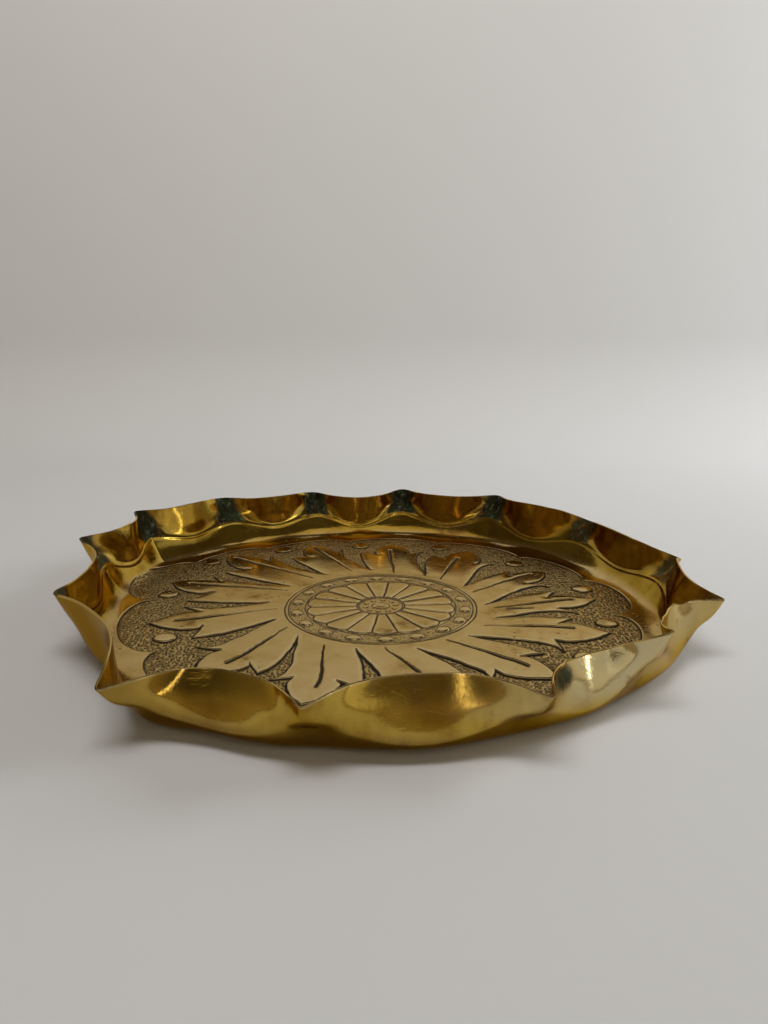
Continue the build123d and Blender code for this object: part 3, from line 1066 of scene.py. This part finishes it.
def brass(name):
    """Old brass: satin and tarnished on the floor, brighter on the wall, dirty where it is cut,
    with a painted reflection and painted shade on the wall's outside and painted shade in the
    crimp pockets.
    """
    material = bpy.data.materials.new(name)
    tree = Tree(material)
    place = tree.add("ShaderNodeTexCoord").outputs["Object"]
    cavity, ground, worn, wall, painted_light_and_foot_tone, verdigris_and_shade = (tree.attribute(key) for key in ATTRIBUTES)

    clouds = tree.noise(place, 26, 5, 0.6, 0.6)
    mottle = tree.noise(place, 110, 6, 0.65)
    grain = tree.noise(place, 900, 3, 0.5)
    one_way = tree.noise(tree.stretched(place, (0, 0, 0.4), (70, 1900, 400)), 1, 2, 0.5)
    other_way = tree.noise(tree.stretched(place, (0, 0, 1.9), (90, 2300, 500)), 1, 2, 0.5)
    scratches = tree.math("ADD", tree.ramp(one_way, 0.60, 0.74), tree.ramp(other_way, 0.62, 0.76))

    tarnish = tree.ramp(tree.math("ADD", clouds, tree.math("MULTIPLY", mottle, 0.6)), 0.66, 1.02)
    floor_colour = tree.mix(tarnish, FLOOR_BRASS, FLOOR_TARNISH)
    bands = tree.noise(tree.stretched(place, (0, 0, 0), (42, 42, 16)), 1, 4, 0.6)
    brushed = tree.noise(tree.stretched(place, (0, 0, 0), (45, 45, 1400)), 1, 3, 0.6)
    wall_tarnish = tree.math("MULTIPLY", brushed, 0.35)
    wall_tarnish = tree.math("ADD", tree.ramp(bands, 0.34, 0.70), wall_tarnish)
    wall_tarnish = tree.math("SUBTRACT", wall_tarnish, 0.35)
    wall_tarnish = tree.math("MULTIPLY_ADD", tarnish, 0.5, wall_tarnish)
    wall_tarnish = tree.ramp(wall_tarnish, 0, 1.2)
    wall_colour = tree.mix(wall_tarnish, WALL_BRASS, WALL_TARNISH)
    # Painted pale reflection and painted shade on the wall's outside, and a browner foot.
    wall_colour = tree.mix(tree.ramp(painted_light_and_foot_tone, 0, 1, 0, 0.85), wall_colour, PAINTED_REFLECTION_BRASS)
    wall_colour = tree.mix(tree.ramp(painted_light_and_foot_tone, 0, -1, 0, 0.85), wall_colour, PAINTED_SHADE_AND_FOOT_BRASS)
    colour = tree.mix(wall, floor_colour, wall_colour)
    stain = tree.ramp(tree.math("MULTIPLY", clouds, mottle), 0.31, 0.42, 0, 0.6)
    colour = tree.mix(stain, colour, STAIN_AND_POCKET_SHADE)
    colour = tree.mix(tree.math("MULTIPLY", worn, 0.45), colour, WORN_BRASS)
    ground_share = tree.math("MULTIPLY", ground, tree.ramp(mottle, 0.35, 0.62, 0.60, 0.95))
    colour = tree.mix(ground_share, colour, GROUND_BRASS)

    specks = tree.add("ShaderNodeTexVoronoi", {"Vector": place, "Scale": 210.0})
    speck = tree.ramp(specks.outputs["Distance"], 0.20, 0.06)
    speck = tree.math("MULTIPLY", speck, tree.ramp(clouds, 0.48, 0.57))
    speck = tree.math("MULTIPLY", speck, tree.ramp(wall, 0.5, 0.0))
    dirt = tree.ramp(tree.math("ADD", cavity, tree.math("MULTIPLY", mottle, 0.35)), 0.38, 0.85)
    dirt = tree.math("MAXIMUM", dirt, tree.math("MULTIPLY", speck, 0.8))
    colour = tree.mix(dirt, colour, GROOVE_DIRT)

    patches = tree.noise(place, 150, 6, 0.7)
    streaks = tree.noise(tree.stretched(place, (0, 0, 0), (380, 380, 130)), 1, 5, 0.7)
    # Darker round the verdigris: painted shade in the crimp pockets, and dirt round the stains
    # outside.
    colour = tree.mix(tree.ramp(verdigris_and_shade, 0.0, 0.5, 0, 0.75), colour, STAIN_AND_POCKET_SHADE)
    green_share = tree.math("MULTIPLY_ADD", tree.math("ADD", patches, streaks), 1.3, verdigris_and_shade)
    green_share = tree.ramp(green_share, 1.45, 2.10)
    green_share = tree.math("MULTIPLY", green_share, tree.ramp(verdigris_and_shade, 0.0, 0.3))
    green_colour = tree.mix(tree.ramp(patches, 0.42, 0.60), VERDIGRIS_DARK, VERDIGRIS_GREEN)
    green_colour = tree.mix(tree.ramp(streaks, 0.53, 0.68), green_colour, VERDIGRIS_PALE)
    colour = tree.mix(green_share, colour, green_colour)

    satin = tree.mix_value(wall, 0.12, 0.09)
    roughness = tree.math("MULTIPLY_ADD", tarnish, 0.08, satin)
    roughness = tree.math("MULTIPLY_ADD", scratches, 0.08, roughness)
    roughness = tree.math("MULTIPLY_ADD", stain, 0.15, roughness)
    roughness = tree.mix_value(ground_share, roughness, 0.24)
    roughness = tree.mix_value(dirt, roughness, 0.65)
    roughness = tree.mix_value(green_share, roughness, 0.42)
    metallic = tree.mix_value(dirt, tree.mix_value(green_share, 1.0, 0.62), 0.15)

    relief = tree.math("MULTIPLY_ADD", grain, 0.4, tree.math("MULTIPLY", mottle, 0.6))
    relief = tree.math("SUBTRACT", relief, tree.math("MULTIPLY", scratches, 0.25))
    bump = tree.add("ShaderNodeBump", {"Height": relief, "Strength": 0.12, "Distance": 0.0004})
    shader = tree.add(
        "ShaderNodeBsdfPrincipled",
        {
            "Base Color": colour,
            "Roughness": roughness,
            "Metallic": metallic,
            "Normal": bump.outputs["Normal"],
            "Specular Tint": EDGE_TINT,
        },
    )
    tree.add("ShaderNodeOutputMaterial", {"Surface": shader.outputs["BSDF"]})
    return material


def plain_material(name, colour, roughness):
    material = bpy.data.materials.new(name)
    tree = Tree(material)
    shader = tree.add("ShaderNodeBsdfPrincipled", {"Base Color": colour, "Roughness": roughness})
    tree.add("ShaderNodeOutputMaterial", {"Surface": shader.outputs["BSDF"]})
    return material


# ---- stage: a pale floor that sweeps up into a pale wall, soft light, camera ----

# In metres.
WALL_DISTANCE = 0.50      # from the middle of the tray
WALL_HEIGHT = 0.50
SWEEP_RADIUS = 0.12       # of the rounded corner between the floor and the wall
STAGE_FRONT = -2.2
STAGE_WIDTH = 3.6
STAGE_PAINT = (0.70, 0.70, 0.705, 1)

HORIZON = (0.29, 0.225, 0.12, 1)
OVERHEAD = (0.07, 0.057, 0.036, 1)
PALE_ROOM = (0.52, 0.51, 0.49, 1)

CAMERA_PLACE = (0, -0.35462, 0.13654)
CAMERA_LENS = 27.21
CAMERA_SENSOR = 36
CAMERA_DOWN = 14.05       # degrees by which it looks down
CAMERA_TURN = -0.25

TRAY_MIDDLE = (0, 0, 0.02)
WALL_MIDDLE = (0, 0.5, 0.35)
WHITE = (1, 1, 1)
COOL = (0.93, 0.97, 1.0)
WARM = (1.0, 0.90, 0.72)

# The lights that show in the brass: name, place, width, height, power, colour.
MIRRORED_LIGHTS = [
    ("side_window", (1.07, -0.45, 0.23), 0.06, 0.30, 0.26, COOL),
    ("front_window", (-0.02, -1.43, 0.55), 0.05, 1.05, 0.50, WARM),
    ("top_card", (0.0, 0.0, 1.5), 1.0, 1.0, 1.6, WARM),
    ("side_card", (1.35, -0.50, 0.46), 1.4, 0.85, 1.4, COOL),
    ("corner_card", (0.82, -1.15, 0.24), 0.55, 0.38, 0.24, COOL),
    ("high_card", (0.0, -1.25, 1.2), 2.0, 0.45, 1.6, WARM),
]


def backdrop():
    """The floor and the wall behind the tray, as one sheet with a rounded corner."""
    line = [(STAGE_FRONT, 0.0), (WALL_DISTANCE - SWEEP_RADIUS, 0.0)]
    for turn in np.radians(np.arange(6, 91, 6)):
        across = WALL_DISTANCE - SWEEP_RADIUS + SWEEP_RADIUS * math.sin(turn)
        line.append((across, SWEEP_RADIUS - SWEEP_RADIUS * math.cos(turn)))
    line.append((WALL_DISTANCE, WALL_HEIGHT))
    vertices = []
    for across, up in line:
        vertices.append((-STAGE_WIDTH / 2, across, up))
        vertices.append((STAGE_WIDTH / 2, across, up))
    faces = [(2 * i, 2 * i + 1, 2 * i + 3, 2 * i + 2) for i in range(len(line) - 1)]
    mesh = bpy.data.meshes.new("backdrop")
    mesh.from_pydata(vertices, [], faces)
    mesh.shade_smooth()
    mesh.materials.append(plain_material("backdrop_paint", STAGE_PAINT, 0.9))
    piece = bpy.data.objects.new("backdrop", mesh)
    bpy.context.scene.collection.objects.link(piece)


def soft_light(name, place, aim, width, height, power, colour, mirrored=True):
    """An area light.  One that isn't mirrored lights the stage but doesn't show in the brass."""
    light = bpy.data.lights.new(name, "AREA")
    light.shape = "RECTANGLE"
    light.size = width
    light.size_y = height
    light.energy = power
    light.color = colour
    lamp = bpy.data.objects.new(name, light)
    lamp.location = place
    lamp.rotation_euler = (Vector(aim) - Vector(place)).to_track_quat("-Z", "Y").to_euler()
    lamp.visible_glossy = mirrored
    bpy.context.scene.collection.objects.link(lamp)


def camera():
    data = bpy.data.cameras.new("camera")
    data.sensor_width = CAMERA_SENSOR
    data.lens = CAMERA_LENS
    viewer = bpy.data.objects.new("camera", data)
    viewer.location = CAMERA_PLACE
    viewer.rotation_euler = (math.radians(90 - CAMERA_DOWN), 0, math.radians(CAMERA_TURN))
    bpy.context.scene.collection.objects.link(viewer)
    bpy.context.scene.camera = viewer


def room():
    """A dim warm room for the brass to mirror, and plain pale grey where the stage ends."""
    world = bpy.data.worlds.new("room")
    tree = Tree(world)
    direction = tree.add("ShaderNodeTexCoord").outputs["Generated"]
    height = tree.add("ShaderNodeSeparateXYZ", {"Vector": direction}).outputs["Z"]
    colour = tree.mix(tree.ramp(height, 0.03, 0.55), HORIZON, OVERHEAD)
    seen = tree.add("ShaderNodeLightPath").outputs["Is Camera Ray"]
    background = tree.add("ShaderNodeBackground", {"Color": tree.mix(seen, colour, PALE_ROOM)})
    tree.add("ShaderNodeOutputWorld", {"Surface": background.outputs["Background"]})
    bpy.context.scene.world = world
    bpy.context.scene.view_settings.view_transform = "Standard"


# ---- put together ----

MATERIALS = {name: brass(name) for name in ("chased_brass", "polished_brass")}
camera()
room()
backdrop()
for name, place, width, height, power, colour in MIRRORED_LIGHTS:
    soft_light(name, place, TRAY_MIDDLE, width, height, power, colour)
soft_light("daylight", (0.95, 0.30, 0.50), TRAY_MIDDLE, 0.5, 0.5, 5.4, COOL, mirrored=False)
soft_light("wall_wash", (-0.1, -0.3, 1.2), WALL_MIDDLE, 0.8, 0.4, 6.2, WHITE, mirrored=False)

medallion()
for number in range(len(PETALS)):
    petal_panel(number)
for number in range(len(CRIMPS)):
    rim_lobe(number)
